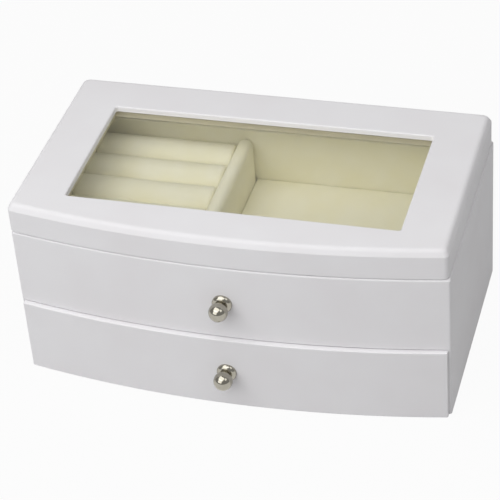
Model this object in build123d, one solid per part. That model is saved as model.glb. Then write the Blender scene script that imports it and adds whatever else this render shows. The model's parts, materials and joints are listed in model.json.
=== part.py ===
"""White lacquered jewellery display box with a glass-topped lid, a ring tray and one drawer.

The origin is the centre of the case's footprint on the table. +X runs to the viewer's right,
+Y to the back and +Z up. All sizes are in millimetres.
"""

import os
from math import sqrt

from build123d import *

os.makedirs("parts", exist_ok=True)

# Case: bow-fronted box of lacquered fibreboard
case_width = 252.0
side_depth = 135.8  # front corner to back
bow_rise = 11.8  # the middle of the front stands this far ahead of its corners
case_height = 95.4
board = 9.0
bottom_board = 5.0
bottom_setback = 0.6  # bottom board's front edge behind the corner plane
drawer_line = 47.0  # case bottom to the lower edge of the fixed front
corner_radius = 1.5
rim_radius = 1.2
front_edge_radius = 0.5
felt_thickness = 1.0
felt_inset = 2.0

# Lid: window board with a rim glued under it
lid_height = 18.8
lid_board = 8.4
lid_front_setback = 0.1  # lid's front behind the case's
lid_side_setback = 0.1  # lid's half width less than the case's
lid_left_shift = 0.75  # play in the hinges: the lid sits this far to the left
lid_seam = 0.3
lid_bevel_width = 2.0  # seen from above
lid_bevel_height = 4.0
lid_crest_radius = 3.3  # soft change from the bevel to the flat top
lid_corner_radius = 3.5
lid_bottom_radius = 0.6
window_width = 192.3
window_depth = 92.0
window_from_corner = 14.6  # corner plane to the window's front edge
window_corner_radius = 1.5
window_edge_radius = 0.9
window_lip = 3.4  # white edge seen above the glass
glass_thickness = 1.5
glass_lap = 5.0
bead_setback = 1.8  # beads' faces behind the window's edges
glass_clearance = 0.3

# Ring tray under the lid
tray_lining = 3.5
tray_end_lining = 5.5  # padded, at the left and right
lining_below_rim = 0.6
tray_pad = 4.2
tray_pad_radius = 1.4
divider_thickness = 9.0
divider_from_centre = 21.5  # left of the middle, at the divider's centre
divider_height = 33.8
divider_radius = 3.6
ring_roll_count = 5
ring_roll_height = 32.6
ring_roll_gap = 0.4
ring_roll_end_gap = 0.3
ring_roll_end_radius = 1.6

# Drawer
drawer_proud = 3.0  # drawer front stands this far ahead of the fixed front
drawer_end_inset = 1.5
drawer_seat_gap = 0.2
drawer_lip_gap = 0.4
drawer_lip_drop = 0.35  # lip's lower edge below the case bottom
drawer_lip_radius = 0.6
drawer_front_body = 5.6  # part of the drawer front that goes in between the case sides
drawer_side_gap = 0.7
drawer_run_gap = 0.3
drawer_top_gap = 0.8
drawer_board = 8.0
drawer_side_height = 39.0
drawer_rear_gap = 3.0
drawer_floor = 3.0
drawer_floor_lift = 3.0
groove_depth = 3.0
groove_clearance = 0.1
drawer_lining = 1.5
drawer_lining_drop = 2.5
drawer_pad = 2.5
drawer_pad_radius = 0.9

# Knobs and their screws
upper_knob_height = 70.9  # above the case bottom
drawer_knob_height = 23.6
knob_base_radius = 5.8
knob_base_edge = 1.0
knob_dome_width = 3.2
knob_dome_height = 1.8
knob_throat = 0.25
knob_ball_radius = 5.5
knob_ball_reach = 8.1  # front face to the ball's centre
knob_thread_depth = 8.0
screw_radius = 1.5
screw_engagement = 7.0
screw_head_radius = 2.75
screw_head_height = 2.0
screw_slot_width = 0.8
screw_slot_depth = 0.9
screw_clearance = 0.2
thread_clearance = 0.03
counterbore_extra = 0.4

# Hinges: two small butt hinges let into the back
hinge_inset = 50.0  # side of the case to the middle of a hinge
leaf_length = 25.0
leaf_shoulder = 1.3  # wood left in front of the leaf
leaf_thickness = 0.9
barrel_radius = 1.6
barrel_clearance = 0.3
knuckle_gap = 0.2
pin_radius = 0.75
pin_clearance = 0.05
pin_head_radius = 1.2
pin_head_height = 0.5
mortise_clearance = 0.15
hinge_screw_radius = 0.9
hinge_screw_head_radius = 1.65
hinge_screw_length = 6.5
hinge_screw_inset = 5.0
hinge_screw_slot = 0.45
hinge_screw_clearance = 0.05

# Places that follow from the sizes above
front = -side_depth / 2
back = side_depth / 2
half_width = case_width / 2
upper_face = front - bow_rise
drawer_face = upper_face - drawer_proud
inner_half = half_width - board
front_inner = front + board
back_inner = back - board
case_bottom = felt_thickness
case_top = case_bottom + case_height
upper_knob_z = case_bottom + upper_knob_height
drawer_knob_z = case_bottom + drawer_knob_height
upper_front_bottom = case_bottom + drawer_line
shelf_top = upper_front_bottom + board
lid_bottom = case_top + lid_seam
lid_board_bottom = lid_bottom + lid_height - lid_board
lid_top = lid_bottom + lid_height
window_half = window_width / 2
window_front = front + window_from_corner
window_back = window_front + window_depth
glass_top = lid_top - window_lip
glass_bottom = glass_top - glass_thickness
rebate_half = window_half + glass_lap
rebate_front = window_front - glass_lap
rebate_back = window_back + glass_lap
lining_top = case_top - lining_below_rim
lining_half = inner_half - tray_end_lining
lining_front = front_inner + tray_lining
lining_back = back_inner - tray_lining
ring_pitch = (lining_back - lining_front) / ring_roll_count
divider_left = -divider_from_centre - divider_thickness / 2
divider_right = -divider_from_centre + divider_thickness / 2
drawer_low = case_bottom + bottom_board + drawer_run_gap
drawer_half = inner_half - drawer_side_gap
drawer_inner_half = drawer_half - drawer_board
drawer_front_back = front + drawer_front_body
drawer_rear = back_inner - drawer_rear_gap
drawer_back_front = drawer_rear - drawer_board
drawer_floor_low = drawer_low + drawer_floor_lift
drawer_floor_top = drawer_floor_low + drawer_floor
drawer_side_top = drawer_low + drawer_side_height
groove_low = drawer_floor_low - groove_clearance
groove_high = drawer_floor_top + groove_clearance
groove_half = drawer_inner_half + groove_depth
hinge_places = (hinge_inset - half_width, half_width - hinge_inset)
leaf_front = back_inner + leaf_shoulder
hinge_screw_y = (leaf_front + back) / 2
hinge_screw_offset = leaf_length / 2 - hinge_screw_inset
knuckle_length = (leaf_length - 2 * knuckle_gap) / 3
hinge_axis_y = back + barrel_radius + barrel_clearance
hinge_axis_z = case_top + lid_seam / 2


def block(x_low, x_high, y_low, y_high, z_low, z_high):
    """Box between two corners."""
    size = (x_high - x_low, y_high - y_low, z_high - z_low)
    middle = ((x_low + x_high) / 2, (y_low + y_high) / 2, (z_low + z_high) / 2)
    return Pos(*middle) * Box(*size)


def bow_block(width, corner_y, rear_y, z_low, z_high):
    """Upright block whose front face bows forward between its two corners."""
    half = width / 2
    outline = Curve() + [
        ThreePointArc((-half, corner_y), (0, corner_y - bow_rise), (half, corner_y)),
        Polyline((half, corner_y), (half, rear_y), (-half, rear_y), (-half, corner_y)),
    ]
    return extrude(Pos(0, 0, z_low) * make_face(outline), z_high - z_low, dir=(0, 0, 1))


def upright_edges(solid):
    return solid.edges().filter_by(Axis.Z)


def rod(radius, length, y_start):
    """Round bar along +Y from y_start."""
    return Pos(0, y_start, 0) * Rot(-90, 0, 0) * extrude(Circle(radius), length)


def cross_rod(radius, length):
    """Round bar along X, centred on the origin."""
    return Rot(0, 90, 0) * Cylinder(radius, length)


def save(shape, name):
    export_step(shape, f"parts/{name}.step")


# Outer forms that the boards are cut from, so that rounded edges run on from board to board

upper_form = bow_block(case_width, front, back, upper_front_bottom, case_top)
upper_form = fillet(upright_edges(upper_form), corner_radius)
upper_form = fillet(upper_form.edges().group_by(Axis.Z)[-1], rim_radius)

lower_form = block(-half_width, half_width, front, back, case_bottom, upper_front_bottom)
lower_form = fillet(upright_edges(lower_form), corner_radius)


def bevel_section(start, reach):
    """Section under the lid's top and the bevel that falls from it past the upright face at reach."""
    crest = (reach - lid_bevel_width, lid_top)
    beyond = (reach + lid_bevel_width, lid_top - 2 * lid_bevel_height)
    low = min(lid_bottom, beyond[1]) - lid_bevel_height
    outline = Polyline((start, low), (beyond[0], low), beyond, crest, (start, lid_top), (start, low))
    section = make_face(outline)
    return fillet(section.vertices().sort_by_distance(crest)[0], lid_crest_radius)


def bevelled_lid_form():
    """Bow-fronted lid with a bevel round its top: a soft crest above and a crisp crease below."""
    half = half_width - lid_side_setback
    corner_y = front + lid_front_setback
    form = bow_block(2 * half, corner_y, back, lid_bottom, lid_top + lid_bevel_height)
    form = fillet(upright_edges(form), lid_corner_radius)
    form = fillet(form.edges().group_by(Axis.Z)[0], lid_bottom_radius)
    right = extrude(Plane.XZ * bevel_section(-case_width, half), case_width, both=True)
    rear = extrude(Plane.YZ * bevel_section(-case_width, back), case_width, both=True)
    bow_radius = (half**2 + bow_rise**2) / (2 * bow_rise)
    bow_centre = corner_y - bow_rise + bow_radius
    turned = revolve(Plane.XZ * bevel_section(0, bow_radius), Axis.Z)
    form = form & right & mirror(right, Plane.YZ) & rear & (Pos(0, bow_centre, 0) * turned)
    return Pos(-lid_left_shift, 0, 0) * form


lid_form = bevelled_lid_form()


# Case boards

def side_board(sign):
    """Full-depth side: it reaches the corner below the fixed front and stops behind it above."""
    x_low, x_high = sorted((sign * inner_half, sign * half_width))
    lower = lower_form & block(x_low, x_high, front, back, case_bottom, upper_front_bottom)
    upper = upper_form & block(x_low, x_high, front_inner, back, upper_front_bottom, case_top)
    return lower + upper


def front_panel():
    """Fixed upper front, flat behind, with a bored and counterbored hole for its knob screw."""
    zone = block(-half_width, half_width, upper_face, front_inner, upper_front_bottom, case_top)
    panel = upper_form & zone
    lower_edges = panel.edges().group_by(Axis.Z)[0]
    panel = fillet(lower_edges.sort_by(Axis.Y)[0], front_edge_radius)
    return panel - screw_bore(upper_face, front_inner, upper_knob_z)


def back_board():
    board_zone = block(-inner_half, inner_half, back_inner, back, case_bottom, case_top)
    panel = (upper_form + lower_form) & board_zone
    for x in hinge_places:
        panel -= leaf_mortise(x, case_top - leaf_thickness, case_top + lid_seam)
        panel -= Pos(x, 0, case_top - leaf_thickness) * pilot_holes(-1)
    return panel


def shelf():
    return block(-inner_half, inner_half, front_inner, back_inner, upper_front_bottom, shelf_top)


def bottom():
    low = case_bottom
    return block(-inner_half, inner_half, front + bottom_setback, back_inner, low, low + bottom_board)


def base_felt():
    half = half_width - felt_inset
    sheet = block(-half, half, front + felt_inset, back - felt_inset, 0, felt_thickness)
    return fillet(upright_edges(sheet), felt_inset)


# Knobs and screws

def screw_bore(face_y, rear_y, z):
    """Clearance hole through a front, with a counterbore for the screw head in its back."""
    sunk = screw_head_height + counterbore_extra
    hole = rod(screw_radius + screw_clearance, rear_y - face_y, face_y)
    hole += rod(screw_head_radius + screw_clearance, sunk, rear_y - sunk)
    return Pos(0, 0, z) * hole


def knob():
    """Ball knob on a domed base. Its flat back is at y = 0 and it points to -Y."""
    neck = knob_base_radius - knob_dome_width
    dome_top = knob_base_edge + knob_dome_height
    ball_start = knob_ball_reach - sqrt(knob_ball_radius**2 - neck**2)
    ball_end = knob_ball_reach + knob_ball_radius
    dome_x = neck + knob_dome_width * sqrt(0.5)
    dome_y = -knob_base_edge - knob_dome_height * sqrt(0.5)
    throat_y = (dome_top + ball_start) / 2
    profile = Curve() + [
        Polyline((0, 0), (knob_base_radius, 0), (knob_base_radius, -knob_base_edge)),
        ThreePointArc((knob_base_radius, -knob_base_edge), (dome_x, dome_y), (neck, -dome_top)),
        ThreePointArc((neck, -dome_top), (neck - knob_throat, -throat_y), (neck, -ball_start)),
        ThreePointArc((neck, -ball_start), (knob_ball_radius, -knob_ball_reach), (0, -ball_end)),
        Line((0, -ball_end), (0, 0)),
    ]
    turned = revolve(make_face(profile), Axis.Y)
    return turned - rod(screw_radius + thread_clearance, knob_thread_depth, -knob_thread_depth)


def knob_screw(face_y, rear_y):
    """Machine screw from the counterbore into the knob, with a slotted head."""
    head_back = rear_y - counterbore_extra
    head_front = head_back - screw_head_height
    tip = face_y - screw_engagement
    shank = rod(screw_radius, head_front - tip, tip)
    head = rod(screw_head_radius, screw_head_height, head_front)
    reach = screw_head_radius
    slot_half = screw_slot_width / 2
    slot = block(-reach, reach, head_back - screw_slot_depth, head_back, -slot_half, slot_half)
    return shank + head - slot


# Hinges

def leaf_mortise(x, z_low, z_high):
    half = leaf_length / 2 + mortise_clearance
    return block(x - half, x + half, leaf_front - mortise_clearance, back, z_low, z_high)


def pilot_holes(direction):
    """Holes for a leaf's two screws, from z = 0 down or up into the wood."""
    depth = hinge_screw_length + mortise_clearance
    holes = Part()
    for side in (-1, 1):
        place = Pos(side * hinge_screw_offset, hinge_screw_y, direction * depth / 2)
        holes += place * Cylinder(hinge_screw_radius + hinge_screw_clearance, depth)
    return holes


def countersunk_form(clearance, length, direction):
    """Screw or its hole: a 45 degree head with its flat at z = 0, and a shank."""
    head = hinge_screw_head_radius + clearance
    shank = hinge_screw_radius + clearance
    cone_height = head - shank
    profile = Polyline(
        (0, 0),
        (head, 0),
        (shank, cone_height * direction),
        (shank, length * direction),
        (0, length * direction),
        (0, 0),
    )
    return revolve(Plane.XZ * make_face(profile), Axis.Z)


def leaf(x, direction):
    """Hinge leaf on the case (direction -1) or on the lid (+1), with its knuckles."""
    face = hinge_axis_z + direction * lid_seam / 2
    z_low, z_high = sorted((face, face + direction * leaf_thickness))
    half = leaf_length / 2
    plate = block(x - half, x + half, leaf_front, back, z_low, z_high)
    step = knuckle_length + knuckle_gap
    knuckle_places = (0,) if direction > 0 else (-step, step)
    for place in knuckle_places:
        low = x + place - knuckle_length / 2
        high = x + place + knuckle_length / 2
        plate += block(low, high, back, hinge_axis_y, z_low, z_high)
        plate += Pos(x + place, hinge_axis_y, hinge_axis_z) * cross_rod(barrel_radius, knuckle_length)
    bore_length = leaf_length + 2 * barrel_radius
    plate -= Pos(x, hinge_axis_y, hinge_axis_z) * cross_rod(pin_radius + pin_clearance, bore_length)
    for side in (-1, 1):
        sink = countersunk_form(hinge_screw_clearance, hinge_screw_length, direction)
        plate -= Pos(x + side * hinge_screw_offset, hinge_screw_y, face) * sink
    return plate


def hinge_pin(x):
    pin = cross_rod(pin_radius, leaf_length)
    head_place = (leaf_length + pin_head_height) / 2
    for side in (-1, 1):
        pin += Pos(side * head_place, 0, 0) * cross_rod(pin_head_radius, pin_head_height)
    return Pos(x, hinge_axis_y, hinge_axis_z) * pin


def hinge_screws(direction):
    """The four screws of both leaves on one side of the seam."""
    face = hinge_axis_z + direction * lid_seam / 2
    slot_half = hinge_screw_slot / 2
    reach = hinge_screw_head_radius
    slot = block(-reach, reach, -slot_half, slot_half, -hinge_screw_slot, hinge_screw_slot)
    screw = countersunk_form(0, hinge_screw_length, direction) - slot
    places = [(x + side * hinge_screw_offset) for x in hinge_places for side in (-1, 1)]
    return Compound([Pos(x, hinge_screw_y, face) * screw for x in places])


# Ring tray

def tray_linings():
    low = shelf_top
    return {
        "tray_lining_back": block(-inner_half, inner_half, lining_back, back_inner, low, lining_top),
        "tray_lining_front": block(-inner_half, inner_half, front_inner, lining_front, low, lining_top),
        "tray_lining_left": block(-inner_half, -lining_half, lining_front, lining_back, low, lining_top),
        "tray_lining_right": block(lining_half, inner_half, lining_front, lining_back, low, lining_top),
    }


def tray_floor_pad():
    """Padded floor of the open compartment, with soft upper edges."""
    pad = block(divider_right, lining_half, lining_front, lining_back, shelf_top, shelf_top + tray_pad)
    return fillet(pad.edges().group_by(Axis.Z)[-1], tray_pad_radius)


def divider():
    """Padded divider, round along its top and at its upper corners."""
    wall = block(
        divider_left,
        divider_right,
        lining_front,
        lining_back,
        shelf_top,
        shelf_top + divider_height,
    )
    return fillet(wall.edges().group_by(Axis.Z)[-1], divider_radius)


def ring_roll(index):
    """Foam bar with a round top. Rings stand in the grooves between the bars."""
    radius = (ring_pitch - ring_roll_gap) / 2
    middle_y = lining_front + (index + 0.5) * ring_pitch
    shoulder = ring_roll_height - radius
    section = Curve() + [
        Polyline((-radius, shoulder), (-radius, 0), (radius, 0), (radius, shoulder)),
        ThreePointArc((radius, shoulder), (0, ring_roll_height), (-radius, shoulder)),
    ]
    x_low = -lining_half + ring_roll_end_gap
    x_high = divider_left - ring_roll_end_gap
    end = Plane(origin=(x_low, middle_y, shelf_top), x_dir=(0, 1, 0), z_dir=(1, 0, 0))
    bar = extrude(end * make_face(section), x_high - x_low, dir=(1, 0, 0))
    ends = bar.faces().sort_by(Axis.X)
    end_edges = ends[0].edges() + ends[-1].edges()
    crown_edges = [edge for edge in end_edges if edge.center().Z > shelf_top + shoulder / 4]
    return fillet(crown_edges, ring_roll_end_radius)


# Lid

def lid_window_board():
    """Upper board of the lid: window with rounded edges and a rebate for the pane below it."""
    zone = block(-case_width, case_width, -case_width, back, lid_board_bottom, lid_top)
    window = block(-window_half, window_half, window_front, window_back, lid_board_bottom, lid_top)
    window = fillet(upright_edges(window), window_corner_radius)
    rebate = block(-rebate_half, rebate_half, rebate_front, rebate_back, lid_board_bottom, glass_top)
    panel = (lid_form & zone) - window
    rim = [
        edge
        for edge in panel.edges().group_by(Axis.Z)[-1]
        if abs(edge.center().X) <= window_half and window_front <= edge.center().Y <= window_back
    ]
    return fillet(rim, window_edge_radius) - rebate


def lid_rims():
    low = lid_bottom
    high = lid_board_bottom
    reach = half_width + lid_left_shift
    front_reach = upper_face
    zones = {
        "lid_rim_front": block(-reach, reach, front_reach, front_inner, low, high),
        "lid_rim_left": block(-reach, -inner_half, front_inner, back, low, high),
        "lid_rim_right": block(inner_half, reach, front_inner, back, low, high),
        "lid_rim_back": block(-inner_half, inner_half, back_inner, back, low, high),
    }
    rims = {name: lid_form & zone for name, zone in zones.items()}
    for x in hinge_places:
        rims["lid_rim_back"] -= leaf_mortise(x, low - lid_seam, low + leaf_thickness)
        rims["lid_rim_back"] -= Pos(x, 0, low + leaf_thickness) * pilot_holes(1)
    return rims


def lid_glass():
    half = rebate_half - glass_clearance
    y_low = rebate_front + glass_clearance
    y_high = rebate_back - glass_clearance
    return block(-half, half, y_low, y_high, glass_bottom, glass_top)


def lid_beads():
    """Four glued strips that hold the pane up in its rebate."""
    low = lid_board_bottom
    high = glass_bottom
    face = window_half + bead_setback
    y_low = window_front - bead_setback
    y_high = window_back + bead_setback
    return {
        "lid_bead_front": block(-rebate_half, rebate_half, rebate_front, y_low, low, high),
        "lid_bead_back": block(-rebate_half, rebate_half, y_high, rebate_back, low, high),
        "lid_bead_left": block(-rebate_half, -face, y_low, y_high, low, high),
        "lid_bead_right": block(face, rebate_half, y_low, y_high, low, high),
    }


# Drawer

def drawer_groove():
    """Groove that runs round inside the drawer for its floor panel."""
    y_low = drawer_front_back - groove_depth
    y_high = drawer_back_front + groove_depth
    return block(-groove_half, groove_half, y_low, y_high, groove_low, groove_high)


def drawer_front():
    """Bow-fronted drawer front: a lip over the case's edges and a body between its sides."""
    lip_width = case_width - 2 * drawer_end_inset
    lip_low = case_bottom - drawer_lip_drop
    lip_high = upper_front_bottom - drawer_lip_gap
    lip_rear = front - drawer_seat_gap
    lip = bow_block(lip_width, front - drawer_proud, lip_rear, lip_low, lip_high)
    lip = fillet(upright_edges(lip).group_by(Axis.Y)[0], drawer_lip_radius)
    levels = lip.edges().group_by(Axis.Z)
    face_edges = levels[0].sort_by(Axis.Y)[:-1] + levels[-1].sort_by(Axis.Y)[:-1]
    lip = fillet(face_edges, drawer_lip_radius)
    body_high = upper_front_bottom - drawer_top_gap
    body = block(-drawer_half, drawer_half, lip_rear, drawer_front_back, drawer_low, body_high)
    bore = screw_bore(drawer_face, drawer_front_back, drawer_knob_z)
    return lip + body - bore - drawer_groove()


def drawer_side(sign):
    x_low, x_high = sorted((sign * drawer_inner_half, sign * drawer_half))
    side = block(x_low, x_high, drawer_front_back, drawer_rear, drawer_low, drawer_side_top)
    return side - drawer_groove()


def drawer_back():
    low = drawer_low
    high = drawer_side_top
    panel = block(-drawer_inner_half, drawer_inner_half, drawer_back_front, drawer_rear, low, high)
    return panel - drawer_groove()


def drawer_floor_panel():
    half = groove_half - groove_clearance
    y_low = drawer_front_back - groove_depth + groove_clearance
    y_high = drawer_back_front + groove_depth - groove_clearance
    return block(-half, half, y_low, y_high, drawer_floor_low, drawer_floor_top)


def drawer_linings():
    low = drawer_floor_top
    high = drawer_side_top - drawer_lining_drop
    half = drawer_inner_half
    inner = half - drawer_lining
    y_low = drawer_front_back
    y_high = drawer_back_front
    y_in = y_low + drawer_lining
    y_out = y_high - drawer_lining
    return {
        "drawer_lining_front": block(-half, half, y_low, y_in, low, high),
        "drawer_lining_back": block(-half, half, y_out, y_high, low, high),
        "drawer_lining_left": block(-half, -inner, y_in, y_out, low, high),
        "drawer_lining_right": block(inner, half, y_in, y_out, low, high),
    }


def drawer_floor_pad():
    inner = drawer_inner_half - drawer_lining
    y_low = drawer_front_back + drawer_lining
    y_high = drawer_back_front - drawer_lining
    pad = block(-inner, inner, y_low, y_high, drawer_floor_top, drawer_floor_top + drawer_pad)
    return fillet(pad.edges().group_by(Axis.Z)[-1], drawer_pad_radius)


# All pieces, one file each

pieces = {
    "case_left_side": side_board(-1),
    "case_right_side": side_board(1),
    "case_front_panel": front_panel(),
    "case_back": back_board(),
    "case_shelf": shelf(),
    "case_bottom": bottom(),
    "base_felt": base_felt(),
    "tray_floor_pad": tray_floor_pad(),
    "divider": divider(),
    "lid_window_board": lid_window_board(),
    "lid_glass": lid_glass(),
    "drawer_front": drawer_front(),
    "drawer_left_side": drawer_side(-1),
    "drawer_right_side": drawer_side(1),
    "drawer_back": drawer_back(),
    "drawer_floor_panel": drawer_floor_panel(),
    "drawer_floor_pad": drawer_floor_pad(),
    "hinge_case_screws": hinge_screws(-1),
    "hinge_lid_screws": hinge_screws(1),
}
pieces.update(tray_linings())
pieces.update(lid_rims())
pieces.update(lid_beads())
pieces.update(drawer_linings())
for index in range(ring_roll_count):
    pieces[f"ring_roll_{index + 1}"] = ring_roll(index)
for name, x in zip(("left", "right"), hinge_places):
    pieces[f"hinge_{name}_case_leaf"] = leaf(x, -1)
    pieces[f"hinge_{name}_lid_leaf"] = leaf(x, 1)
    pieces[f"hinge_{name}_pin"] = hinge_pin(x)

pieces["upper_knob"] = Pos(0, upper_face, upper_knob_z) * knob()
pieces["drawer_knob"] = Pos(0, drawer_face, drawer_knob_z) * knob()
pieces["upper_knob_screw"] = Pos(0, 0, upper_knob_z) * knob_screw(upper_face, front_inner)
pieces["drawer_knob_screw"] = Pos(0, 0, drawer_knob_z) * knob_screw(drawer_face, drawer_front_back)

for name, shape in pieces.items():
    save(shape, name)
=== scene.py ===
"""Looks of the jewellery display box: white satin lacquer, cream velvet, glass and polished nickel.

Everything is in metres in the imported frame, with sizes written in millimetres times mm:
+X to the viewer's right, +Y to the back, +Z up, and the table at z = 0.
"""

import json
from math import atan2, cos, degrees, pi, radians, sin, sqrt, tan

import bmesh
import bpy
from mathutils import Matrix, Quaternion, Vector, noise


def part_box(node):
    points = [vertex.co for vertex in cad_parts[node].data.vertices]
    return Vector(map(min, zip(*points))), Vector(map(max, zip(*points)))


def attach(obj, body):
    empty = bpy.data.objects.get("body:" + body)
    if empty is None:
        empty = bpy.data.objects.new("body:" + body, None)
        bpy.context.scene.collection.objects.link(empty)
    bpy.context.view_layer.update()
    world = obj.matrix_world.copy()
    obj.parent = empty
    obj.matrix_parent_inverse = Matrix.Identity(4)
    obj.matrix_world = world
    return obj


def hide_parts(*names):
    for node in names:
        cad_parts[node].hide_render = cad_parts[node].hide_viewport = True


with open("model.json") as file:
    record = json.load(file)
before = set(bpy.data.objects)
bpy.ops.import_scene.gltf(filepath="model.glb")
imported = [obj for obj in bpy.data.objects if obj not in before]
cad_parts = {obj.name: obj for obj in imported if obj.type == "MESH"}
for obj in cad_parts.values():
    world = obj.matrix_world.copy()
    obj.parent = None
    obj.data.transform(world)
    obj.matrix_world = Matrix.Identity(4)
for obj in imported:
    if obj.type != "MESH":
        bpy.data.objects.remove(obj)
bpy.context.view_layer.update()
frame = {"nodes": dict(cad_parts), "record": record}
nodes = frame["nodes"]
mm = 0.001

# Camera
view_target = Vector((-6.3, -2.9, 51.0)) * mm
view_azimuth = radians(18.1)  # to the right of straight ahead
view_elevation = radians(36.87)
view_roll = radians(-4.8)
view_distance = 1198.7 * mm
camera_lens = 146.5  # in millimetres, as is the sensor's width
sensor_width = 36

# Studio light: a level of 1 makes a white sheet that faces the lamp render as white
room_level = 0.36
floor_radius = 4.0
floor_whiteness = 0.95  # how white the floor looks; the rest of it shows the box's shadow

# Lid shell
lid_bow_rise = 11.8 * mm
lid_corner = 3.5 * mm
lid_under_radius = 0.6 * mm
bevel_width = 2.0 * mm
bevel_height = 4.0 * mm
bevel_crest_radius = 3.3 * mm
bevel_foot_radius = 0.4 * mm
window_corner = 1.5 * mm
window_edge = 0.9 * mm
glass_lap = 5.0 * mm  # width of the rebate that the pane lies in
glass_hold = 4.7 * mm  # how far the pane reaches under the board
opening_corner = 0.2 * mm
leaf_thickness = 0.9 * mm
leaf_fit = 0.15 * mm
pocket_reach = 1 * mm  # how far the box that cuts a leaf pocket stands out of the lid
crease = 0.3 * mm  # flat strip that keeps the shading of a rounded edge to itself
sharp_angle = radians(30)
front_steps = 60
corner_steps = 8
side_steps = 40

# Velvet pieces
along_x, along_y = 0, 1
station_gap = 2.5 * mm
end_steps = 6
ripple_size = 9 * mm
hem_turn = 0.4 * mm  # radius where the velvet turns in under a pad
least_crown_share = 0.25  # of a pad's crown radius, left where its ends draw in
still_height = 0.5 * mm  # the cloth lies still below this height above the foot


def compass(azimuth, elevation):
    """Unit vector from the object. Azimuth 0 is straight in front and 90 to the right."""
    level = cos(elevation)
    return Vector((sin(azimuth) * level, -cos(azimuth) * level, sin(elevation)))


def make_camera():
    """Camera of the photograph: a long lens, right of the front and above it, tilted a little."""
    data = bpy.data.cameras.new("camera")
    data.lens = camera_lens
    data.sensor_width = sensor_width
    data.clip_end = 50
    camera = bpy.data.objects.new("camera", data)
    bpy.context.scene.collection.objects.link(camera)
    toward = compass(view_azimuth, view_elevation)
    turn = (-toward).to_track_quat("-Z", "Y") @ Quaternion((0, 0, 1), view_roll)
    camera.rotation_mode = "QUATERNION"
    camera.rotation_quaternion = turn
    camera.location = view_target + toward * view_distance
    bpy.context.scene.camera = camera


def softbox(name, azimuth, elevation, distance, width, height, level):
    """Rectangular soft lamp that faces the box."""
    toward = compass(radians(azimuth), radians(elevation))
    data = bpy.data.lights.new(name, "AREA")
    data.shape = "RECTANGLE"
    data.size = width
    data.size_y = height
    data.energy = level * (pi * distance) ** 2
    lamp = bpy.data.objects.new(name, data)
    bpy.context.scene.collection.objects.link(lamp)
    lamp.location = view_target + toward * distance
    lamp.rotation_mode = "QUATERNION"
    lamp.rotation_quaternion = (-toward).to_track_quat("-Z", "Y")


# Colours and patterns of the finishes

def linear(code):
    """Linear RGBA from a hex sRGB colour."""
    channels = [int(code[i : i + 2], 16) / 255 for i in (1, 3, 5)]
    return [c / 12.92 if c <= 0.04045 else ((c + 0.055) / 1.055) ** 2.4 for c in channels] + [1]


def add(tree, kind, values=None, links=None, **settings):
    """Adds a node: settings are its own, values and links go to its sockets by name or number."""
    made = tree.nodes.new(kind)
    for name, value in settings.items():
        setattr(made, name, value)
    for socket, value in (values or {}).items():
        made.inputs[socket].default_value = value
    for socket, source in (links or {}).items():
        tree.links.new(source, made.inputs[socket])
    return made


def new_material(name):
    """Material with an empty tree and an output node."""
    material = bpy.data.materials.new(name)
    material.use_nodes = True
    tree = material.node_tree
    tree.nodes.clear()
    return material, tree, tree.nodes.new("ShaderNodeOutputMaterial")


def speckle(tree, size, detail=2.0, stretch=(1, 1, 1)):
    """Cloudy pattern over the piece's own coordinates, with features of a real size."""
    place = add(tree, "ShaderNodeTexCoord")
    mapped = add(tree, "ShaderNodeMapping", {"Scale": stretch}, {"Vector": place.outputs["Object"]})
    values = {"Scale": 1 / size, "Detail": detail, "Roughness": 0.55}
    return add(tree, "ShaderNodeTexNoise", values, {"Vector": mapped.outputs[0]}).outputs["Fac"]


def varied(tree, low, high, **pattern):
    """Number that wanders from low to high with the middle range of a speckle."""
    values = {"From Min": 0.3, "From Max": 0.7, "To Min": low, "To Max": high}
    return add(tree, "ShaderNodeMapRange", values, {"Value": speckle(tree, **pattern)}).outputs[0]


def mottled(tree, first, second, **pattern):
    """Colour that wanders from first to second, both hex, with a speckle."""
    values = {"A": linear(first), "B": linear(second)}
    links = {"Factor": varied(tree, low=0, high=1, **pattern)}
    mix = add(tree, "ShaderNodeMix", None, links, data_type="RGBA")
    for socket in mix.inputs:
        if socket.type == "RGBA":
            socket.default_value = values[socket.name]
    return next(socket for socket in mix.outputs if socket.type == "RGBA")


def relief(tree, depth, under=None, **pattern):
    """Normal bent by a speckle of this depth, on top of another relief if there is one."""
    links = {"Height": speckle(tree, **pattern)}
    if under:
        links["Normal"] = under
    return add(tree, "ShaderNodeBump", {"Distance": depth}, links).outputs["Normal"]


# Materials

def satin_lacquer():
    """Sprayed satin lacquer on fibreboard: soft highlights, a trace of orange peel, cool white."""
    material, tree, output = new_material("satin_white_lacquer")
    colour = mottled(tree, "#E9E8EA", "#E6E4E6", size=40 * mm)
    gloss = varied(tree, low=0.44, high=0.52, size=9 * mm)
    swell = relief(tree, depth=0.03 * mm, size=30 * mm)
    peel = relief(tree, depth=0.004 * mm, under=swell, size=1.6 * mm)
    links = {"Base Color": colour, "Roughness": gloss, "Normal": peel}
    shader = add(tree, "ShaderNodeBsdfPrincipled", {"IOR": 1.5, "Specular IOR Level": 0.15}, links)
    tree.links.new(shader.outputs[0], output.inputs["Surface"])
    return material


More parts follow.
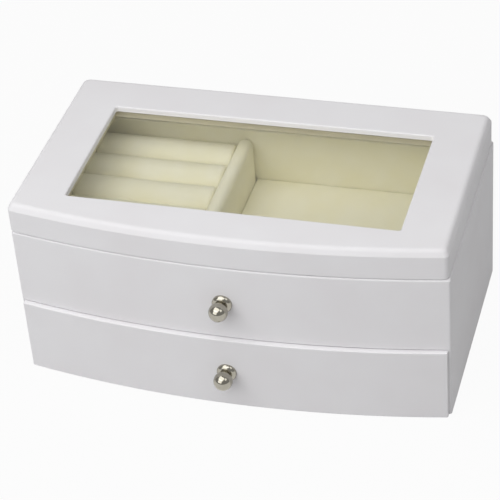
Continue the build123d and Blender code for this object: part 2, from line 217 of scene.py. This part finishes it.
def cream_velvet():
    """Short-pile velvet glued on card and foam: matt, paler where the pile is seen edge on."""
    material, tree, output = new_material("cream_velvet")
    colour = mottled(tree, "#F2EED3", "#F5F2DD", size=14 * mm, detail=3.0, stretch=(1, 0.6, 1))
    nap = relief(tree, depth=0.1 * mm, size=5 * mm)
    # Pile of about 0.1 mm, drawn coarser so that it shows
    fibres = relief(tree, depth=0.05 * mm, under=nap, size=0.45 * mm, detail=3.0)
    values = {
        "Roughness": 0.95,
        "Specular IOR Level": 0.15,
        "Sheen Weight": 0.25,
        "Sheen Roughness": 0.4,
        "Sheen Tint": linear("#F4F3EC"),
    }
    shader = add(tree, "ShaderNodeBsdfPrincipled", values, {"Base Color": colour, "Normal": fibres})
    tree.links.new(shader.outputs[0], output.inputs["Surface"])
    return material


def limewood_painted_shade():
    """Planed limewood without lacquer, its pale straw darkened as painted shade for the recess under
    the lid's window lip: matt, with a fine grain along the strip.
    """
    material, tree, output = new_material("limewood_painted_shade")
    # Grain of about 0.3 mm, drawn coarser so that it shows
    grain = {"size": 0.7 * mm, "detail": 3.0, "stretch": (0.06, 0.06, 1)}
    # Both straw colours are darker than the wood: painted shade for the strip under the window lip
    colour = mottled(tree, "#CDC6AE", "#D6D0BB", **grain)
    ridges = relief(tree, depth=0.02 * mm, **grain)
    values = {"Roughness": 0.7, "Specular IOR Level": 0.3}
    shader = add(tree, "ShaderNodeBsdfPrincipled", values, {"Base Color": colour, "Normal": ridges})
    tree.links.new(shader.outputs[0], output.inputs["Surface"])
    return material


def pressed_felt():
    """Thin pressed wool felt: matt, with short tangled fibres."""
    material, tree, output = new_material("pressed_felt")
    colour = mottled(tree, "#CFCBC0", "#DEDBD2", size=1.2 * mm, detail=4.0)
    # Tufts of tangled fibres: a single fibre is too fine to show
    tufts = relief(tree, depth=0.15 * mm, size=0.6 * mm, detail=4.0, stretch=(1, 3, 1))
    values = {"Roughness": 1.0, "Specular IOR Level": 0.1, "Sheen Weight": 0.2}
    shader = add(tree, "ShaderNodeBsdfPrincipled", values, {"Base Color": colour, "Normal": tufts})
    tree.links.new(shader.outputs[0], output.inputs["Surface"])
    return material


def float_glass():
    """Clear float glass: a faint mirror film, stronger at a low slant, over a clear pane."""
    material, tree, output = new_material("float_glass")
    clear = add(tree, "ShaderNodeBsdfTransparent", {"Color": linear("#FCFCFB")})
    haze = varied(tree, low=0.01, high=0.04, size=25 * mm)
    mirror = add(tree, "ShaderNodeBsdfAnisotropic", {"Color": (1, 1, 1, 1)}, {"Roughness": haze})
    # Glass mirrors 4% of the light that meets it head on, and all of it at the lowest slant
    slant = add(tree, "ShaderNodeLayerWeight", {"Blend": 0.5}).outputs["Facing"]
    steep = add(tree, "ShaderNodeMath", {1: 5.0}, {0: slant}, operation="POWER").outputs[0]
    share = add(tree, "ShaderNodeMapRange", {"To Min": 0.04, "To Max": 1.0}, {"Value": steep})
    links = {0: share.outputs[0], 1: clear.outputs[0], 2: mirror.outputs[0]}
    pane = add(tree, "ShaderNodeMixShader", None, links)
    tree.links.new(pane.outputs[0], output.inputs["Surface"])
    return material


def plated_metal(name, pale, dark, smooth, rough, mark_size, mark_depth, mark_stretch=(1, 1, 1)):
    """Plated metal: its colour and gloss vary a little, over marks drawn coarse enough to show."""
    material, tree, output = new_material(name)
    colour = mottled(tree, pale, dark, size=3 * mm)
    gloss = varied(tree, low=smooth, high=rough, size=1.5 * mm, detail=3.0)
    marks = relief(tree, depth=mark_depth, size=mark_size, detail=3.0, stretch=mark_stretch)
    links = {"Base Color": colour, "Roughness": gloss, "Normal": marks}
    shader = add(tree, "ShaderNodeBsdfPrincipled", {"Metallic": 1.0}, links)
    tree.links.new(shader.outputs[0], output.inputs["Surface"])
    return material


def polished_nickel():
    """Nickel plate polished to a mirror: warm grey, with sharp lamp reflections."""
    return plated_metal(
        "polished_nickel",
        pale="#B0ACA1",
        dark="#A9A598",
        smooth=0.04,
        rough=0.08,
        mark_size=0.6 * mm,
        mark_depth=0.0006 * mm,
    )


def nickel_plated_steel():
    """Pressed steel with a thin nickel plate: greyer and duller, with rolling marks along the leaf."""
    return plated_metal(
        "nickel_plated_steel",
        pale="#C4C2BA",
        dark="#AEABA2",
        smooth=0.22,
        rough=0.34,
        mark_size=0.5 * mm,
        mark_depth=0.004 * mm,
        mark_stretch=(0.15, 1, 1),
    )


def zinc_plated_steel():
    """Zinc plate with a clear passivate on steel: bluish grey and a little cloudy."""
    return plated_metal(
        "zinc_steel",
        pale="#B9BDC2",
        dark="#A3A8AE",
        smooth=0.3,
        rough=0.42,
        mark_size=0.4 * mm,
        mark_depth=0.004 * mm,
    )


def white_paper():
    """White paper sweep: white to the eye and in reflections, and a plain pale sheet to the lamps."""
    material, tree, output = new_material("white_paper_floor")
    grain = relief(tree, depth=0.02 * mm, size=0.8 * mm)
    sheet = add(tree, "ShaderNodeBsdfDiffuse", {"Color": linear("#B4B4B4")}, {"Normal": grain})
    light = add(tree, "ShaderNodeEmission", {"Color": (1, 1, 1, 1), "Strength": 1.0})
    rays = add(tree, "ShaderNodeLightPath").outputs
    seen = rays["Is Camera Ray"]
    for kind in ("Is Glossy Ray", "Is Transmission Ray"):
        links = {0: seen, 1: rays[kind]}
        seen = add(tree, "ShaderNodeMath", None, links, operation="MAXIMUM").outputs[0]
    share = add(tree, "ShaderNodeMath", {1: floor_whiteness}, {0: seen}, operation="MULTIPLY")
    links = {0: share.outputs[0], 1: sheet.outputs[0], 2: light.outputs[0]}
    white = add(tree, "ShaderNodeMixShader", None, links)
    tree.links.new(white.outputs[0], output.inputs["Surface"])
    return material


def make_room():
    """Even grey light from all round, behind the lamps."""
    world = bpy.data.worlds.new("studio_room")
    world.use_nodes = True
    tree = world.node_tree
    tree.nodes.clear()
    back = add(tree, "ShaderNodeBackground", {"Color": (1, 1, 1, 1), "Strength": room_level})
    output = add(tree, "ShaderNodeOutputWorld")
    tree.links.new(back.outputs[0], output.inputs["Surface"])
    bpy.context.scene.world = world


# Meshes

def arc_steps(radius, start, end, count):
    """Offsets (across, up) along an arc about the origin, from start to end in degrees."""
    angles = [radians(start + (end - start) * i / count) for i in range(count + 1)]
    return [(radius * cos(angle), radius * sin(angle)) for angle in angles]


def finish_mesh(bm, name, material):
    """Object from a bmesh, with smooth faces."""
    bmesh.ops.recalc_face_normals(bm, faces=bm.faces)
    for face in bm.faces:
        face.smooth = True
    mesh = bpy.data.meshes.new(name)
    bm.to_mesh(mesh)
    bm.free()
    mesh.materials.append(material)
    piece = bpy.data.objects.new(name, mesh)
    bpy.context.scene.collection.objects.link(piece)
    return piece


def bridge(bm, first, second):
    """Faces between two closed rings of as many points."""
    count = len(first)
    for i in range(count):
        j = (i + 1) % count
        bm.faces.new((first[i], first[j], second[j], second[i]))


def make_floor():
    """Round sheet under the box."""
    bm = bmesh.new()
    bmesh.ops.create_circle(bm, cap_ends=True, radius=floor_radius, segments=96)
    floor = finish_mesh(bm, "floor", white_paper())


# Lid shell: the window board and its rims under one coat of lacquer, with no joint showing

def lid_outline(half, front_y, back_y, corner, bow_radius=None):
    """Rounded outline in plan as (x, y) points, with the same count for every size.

    The front side is an arc of bow_radius whose middle is at front_y, or straight.
    """
    corner_x = half - corner
    if bow_radius:
        bow_y = front_y + bow_radius
        corner_y = bow_y - sqrt((bow_radius - corner) ** 2 - corner_x**2)
        start = degrees(atan2(corner_y - bow_y, corner_x))
    else:
        corner_y = front_y + corner
        start = -90
    turn_x = corner_x + corner * cos(radians(start))
    points = []
    for i in range(front_steps):
        x = turn_x * i / front_steps
        y = bow_y - sqrt(bow_radius**2 - x**2) if bow_radius else front_y
        points.append((x, y))
    for across, up in arc_steps(corner, start, 0, corner_steps):
        points.append((corner_x + across, corner_y + up))
    for i in range(1, side_steps):
        points.append((half, corner_y + (back_y - corner - corner_y) * i / side_steps))
    for across, up in arc_steps(corner, 0, 90, corner_steps):
        points.append((corner_x + across, back_y - corner + up))
    for i in range(1, front_steps + 1):
        points.append((corner_x * (1 - i / front_steps), back_y))
    return points + [(-x, y) for x, y in reversed(points[1:-1])]


def lid_rings():
    """The lid's rings as (outline, z), from under its rim round the outside to the window."""
    board_low, board_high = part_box("lid_window_board")
    rim_low, rim_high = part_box("lid_rim_left")
    rim_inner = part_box("lid_rim_back")[0].y
    glass_low, glass_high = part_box("lid_glass")
    bottom, top = rim_low.z, board_high.z
    middle, half = (board_low.x + board_high.x) / 2, (board_high.x - board_low.x) / 2
    front, back = board_low.y, board_high.y
    bow_radius = (half**2 + lid_bow_rise**2) / (2 * lid_bow_rise)
    window_half = glass_high.x - glass_hold
    window_front = glass_low.y + glass_hold
    window_back = glass_high.y - glass_hold

    def outer(inset, z):
        ring = lid_outline(half - inset, front + inset, back - inset, lid_corner, bow_radius - inset)
        return [(middle + x, y) for x, y in ring], z

    def inner(grow, z, corner):
        return lid_outline(window_half + grow, window_front - grow, window_back + grow, corner), z

    def opening(z):
        return lid_outline(-rim_high.x, -rim_inner, rim_inner, opening_corner), z

    rings = [opening(bottom), outer(lid_under_radius + crease, bottom)]
    for across, up in arc_steps(lid_under_radius, -90, 0, count=6):
        rings.append(outer(lid_under_radius - across, bottom + lid_under_radius + up))
    rings.append(outer(0, bottom + lid_under_radius + crease))
    slope = atan2(bevel_height, bevel_width)
    foot_z = top - bevel_height - bevel_foot_radius * tan((pi / 2 - slope) / 2)
    rings.append(outer(0, foot_z - crease))
    for across, up in arc_steps(bevel_foot_radius, 0, 90 - degrees(slope), count=4):
        rings.append(outer(bevel_foot_radius - across, foot_z + up))
    crest = bevel_width + bevel_crest_radius * tan(slope / 2)
    for across, up in arc_steps(bevel_crest_radius, 90 - degrees(slope), 90, count=12):
        rings.append(outer(crest - across, top - bevel_crest_radius + up))
    rings.append(outer(crest + crease, top))
    corner = window_corner + window_edge
    rings.append(inner(window_edge + crease, top, corner + crease))
    for across, up in arc_steps(window_edge, 90, 180, count=6):
        rings.append(inner(window_edge + across, top - window_edge + up, corner + across))
    rings.append(inner(0, top - window_edge - crease, window_corner))
    rings.append(inner(0, glass_high.z, window_corner))
    rings.append(inner(glass_lap, glass_high.z, window_corner))
    rings.append(inner(glass_lap, board_low.z, window_corner))
    rings.append(opening(board_low.z))
    return rings


def leaf_pocket(side):
    """Plain box that cuts the pocket of one hinge leaf out of the lid's back."""
    leaf_low, leaf_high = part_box(f"hinge_{side}_lid_leaf")
    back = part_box("lid_window_board")[1].y
    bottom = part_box("lid_rim_left")[0].z
    low = (leaf_low.x - leaf_fit, leaf_low.y - leaf_fit, bottom - pocket_reach)
    high = (leaf_high.x + leaf_fit, back + pocket_reach, bottom + leaf_thickness)
    bm = bmesh.new()
    bmesh.ops.create_cube(bm, size=1)
    for vert in bm.verts:
        for axis in range(3):
            vert.co[axis] = high[axis] if vert.co[axis] > 0 else low[axis]
    mesh = bpy.data.meshes.new(f"{side}_leaf_pocket")
    bm.to_mesh(mesh)
    bm.free()
    cutter = bpy.data.objects.new(f"{side}_leaf_pocket", mesh)
    bpy.context.scene.collection.objects.link(cutter)
    return cutter


def sharpen(mesh, angle):
    """Smooth faces, with the edges that turn by more than this angle left sharp."""
    bm = bmesh.new()
    bm.from_mesh(mesh)
    for face in bm.faces:
        face.smooth = True
    for edge in bm.edges:
        edge.smooth = not edge.is_manifold or edge.calc_face_angle() < angle
    bm.to_mesh(mesh)
    bm.free()


def make_lid_shell():
    """Lacquered shell for the window board and the rims, with pockets for the hinge leaves."""
    rings = lid_rings()
    bm = bmesh.new()
    loops = [[bm.verts.new((x, y, z)) for x, y in outline] for outline, z in rings]
    for first, second in zip(loops, loops[1:] + loops[:1]):
        bridge(bm, first, second)
    shell = finish_mesh(bm, "lid_lacquered_shell", lacquer)
    for side in ("left", "right"):
        cutter = leaf_pocket(side)
        cut = shell.modifiers.new("leaf_pocket", "BOOLEAN")
        cut.operation = "DIFFERENCE"
        cut.solver = "EXACT"
        cut.object = cutter
        graph = bpy.context.evaluated_depsgraph_get()
        carved = bpy.data.meshes.new_from_object(shell.evaluated_get(graph))
        shell.modifiers.clear()
        shell.data = carved
        bpy.data.objects.remove(cutter)
    sharpen(shell.data, sharp_angle)
    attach(shell, "lid")
    rims = [f"lid_rim_{side}" for side in ("front", "left", "right", "back")]
    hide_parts("lid_window_board", *rims)


# Velvet pieces: ring rolls, divider, floor pads and wall linings

def spread(low, high, step):
    """Values from low to high, about a step apart."""
    count = max(1, round((high - low) / step))
    return [low + (high - low) * i / count for i in range(count + 1)]


def pad_outline(half, height, crown_radius, hem_radius):
    """Half of a pad's section, as (across, up) points from the middle of its foot to its crown."""
    foot_half = half - hem_radius
    crown_half = half - crown_radius
    side_low, side_high = hem_radius, height - crown_radius
    sides = 8
    tops = 12
    points = [(foot_half * share, 0) for share in (0, 0.5)]
    for across, up in arc_steps(hem_radius, -90, 0, count=3):
        points.append((foot_half + across, side_low + up))
    points += [(half, side_low + (side_high - side_low) * i / sides) for i in range(1, sides)]
    for across, up in arc_steps(crown_radius, 0, 90, count=7):
        points.append((crown_half + across, side_high + up))
    points += [(crown_half * (1 - i / tops), height) for i in range(1, tops + 1)]
    return points


def velvet_pad(name, low, high, along, crown_radius, end_radius, crown, ripple):
    """Padded bar or panel between two corners, lying along X or Y.

    Its foot is flat, its upper edges and ends are rounded, its top swells by crown, and its cloth
    ripples a little.
    """
    across = 1 - along
    half = (high[across] - low[across]) / 2
    middle = (high[across] + low[across]) / 2
    height = high[2] - low[2]
    length = high[along] - low[along]
    curve = arc_steps(end_radius, 0, 90, end_steps)[:-1]
    ends = [(end_radius - run, end_radius - rise) for run, rise in curve]
    stations = [(low[along] + step, inset) for step, inset in ends]
    inner = spread(low[along] + end_radius, high[along] - end_radius, station_gap)
    stations += [(place, 0) for place in inner]
    stations += [(high[along] - step, inset) for step, inset in reversed(ends)]
    bm = bmesh.new()
    rings = []
    for place, inset in stations:
        radius = max(crown_radius - inset, least_crown_share * crown_radius)
        side = pad_outline(half - inset, height - inset, radius, min(hem_turn, radius))
        outline = side + [(-x, z) for x, z in reversed(side[1:-1])]
        ring = []
        # The swell is even over the middle of the pad and fades out towards its edges
        end_share = (2 * (place - low[along]) / length - 1) ** 4
        for x, z in outline:
            swell = crown * (z / height) ** 2 * (1 - end_share) * (1 - (x / half) ** 4)
            point = [0, 0, low[2] + z + swell]
            point[along] = place
            point[across] = middle + x
            ring.append(bm.verts.new(point))
        rings.append(ring)
    for first, second in zip(rings, rings[1:]):
        bridge(bm, first, second)
    bm.faces.new(rings[0])
    bm.faces.new(rings[-1])
    bmesh.ops.recalc_face_normals(bm, faces=bm.faces)
    bm.normal_update()
    still_z = low[2] + still_height
    for vert in bm.verts:
        if vert.co.z > still_z:
            vert.co += vert.normal * ripple * noise.noise(vert.co / ripple_size)
    return finish_mesh(bm, name, velvet)


def dress_in_velvet(
    node, body, along, crown_radius, end_radius, crown=0.0, ripple=0.05 * mm, grow=0.0
):
    """Replaces a soft CAD solid by a velvet pad in its space, grown sideways by grow."""
    low, high = (corner.copy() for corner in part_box(node))
    for axis in (along_x, along_y):
        low[axis] -= grow
        high[axis] += grow
    piece = velvet_pad(f"{node}_velvet", low, high, along, crown_radius, end_radius, crown, ripple)
    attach(piece, body)
    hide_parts(node)


def make_ring_rolls():
    """Round-topped rolls that grip rings between them, pressed against each other."""
    for node in sorted(name for name in nodes if name.startswith("ring_roll_")):
        low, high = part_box(node)
        dress_in_velvet(
            node,
            "case",
            along_x,
            crown_radius=(high.y - low.y) / 2,
            end_radius=2.6 * mm,
            ripple=0.12 * mm,
            grow=0.2 * mm,
        )


def make_divider():
    """Padded bar between the rolls and the open tray."""
    dress_in_velvet(
        "divider",
        "case",
        along_y,
        crown_radius=4.2 * mm,
        end_radius=4.0 * mm,
        ripple=0.08 * mm,
    )


def make_tray_pad():
    """Padded floor of the open tray."""
    dress_in_velvet(
        "tray_floor_pad",
        "case",
        along_x,
        crown_radius=1.4 * mm,
        end_radius=1.4 * mm,
        crown=0.3 * mm,
        ripple=0.12 * mm,
    )


def make_drawer_pad():
    """Padded floor of the drawer."""
    dress_in_velvet(
        "drawer_floor_pad",
        "drawer",
        along_x,
        crown_radius=0.9 * mm,
        end_radius=0.9 * mm,
        crown=0.2 * mm,
        ripple=0.08 * mm,
    )


def make_linings():
    """Velvet on card round the walls of the tray and of the drawer."""
    sides = {"front": along_x, "back": along_x, "left": along_y, "right": along_y}
    for side, along in sides.items():
        dress_in_velvet(
            f"tray_lining_{side}",
            "case",
            along,
            crown_radius=0.9 * mm,
            end_radius=0.6 * mm,
        )
        dress_in_velvet(
            f"drawer_lining_{side}",
            "drawer",
            along,
            crown_radius=0.7 * mm,
            end_radius=0.5 * mm,
        )


make_camera()
make_room()
make_floor()
softbox("high_softbox", azimuth=-24, elevation=65, distance=1.4, width=1.6, height=1.1, level=0.54)
softbox("left_softbox", azimuth=-24, elevation=30, distance=1.3, width=1.0, height=0.9, level=0.29)
softbox("right_softbox", azimuth=66, elevation=46, distance=1.3, width=0.55, height=0.5, level=0.07)

lacquer = satin_lacquer()
velvet = cream_velvet()
finishes = {
    "white_lacquer": lacquer,
    "cream_velvet": velvet,
    "limewood": limewood_painted_shade(),
    "felt": pressed_felt(),
    "glass": float_glass(),
    "polished_nickel": polished_nickel(),
    "nickel_plated_steel": nickel_plated_steel(),
    "zinc_steel": zinc_plated_steel(),
}
for subpart in frame["record"]["subparts"]:
    cad_mesh = nodes[subpart["node"]].data
    cad_mesh.materials.clear()
    cad_mesh.materials.append(finishes[subpart["material_slot"]])

make_lid_shell()
make_ring_rolls()
make_divider()
make_tray_pad()
make_linings()
make_drawer_pad()

bpy.context.scene.view_settings.view_transform = "Standard"
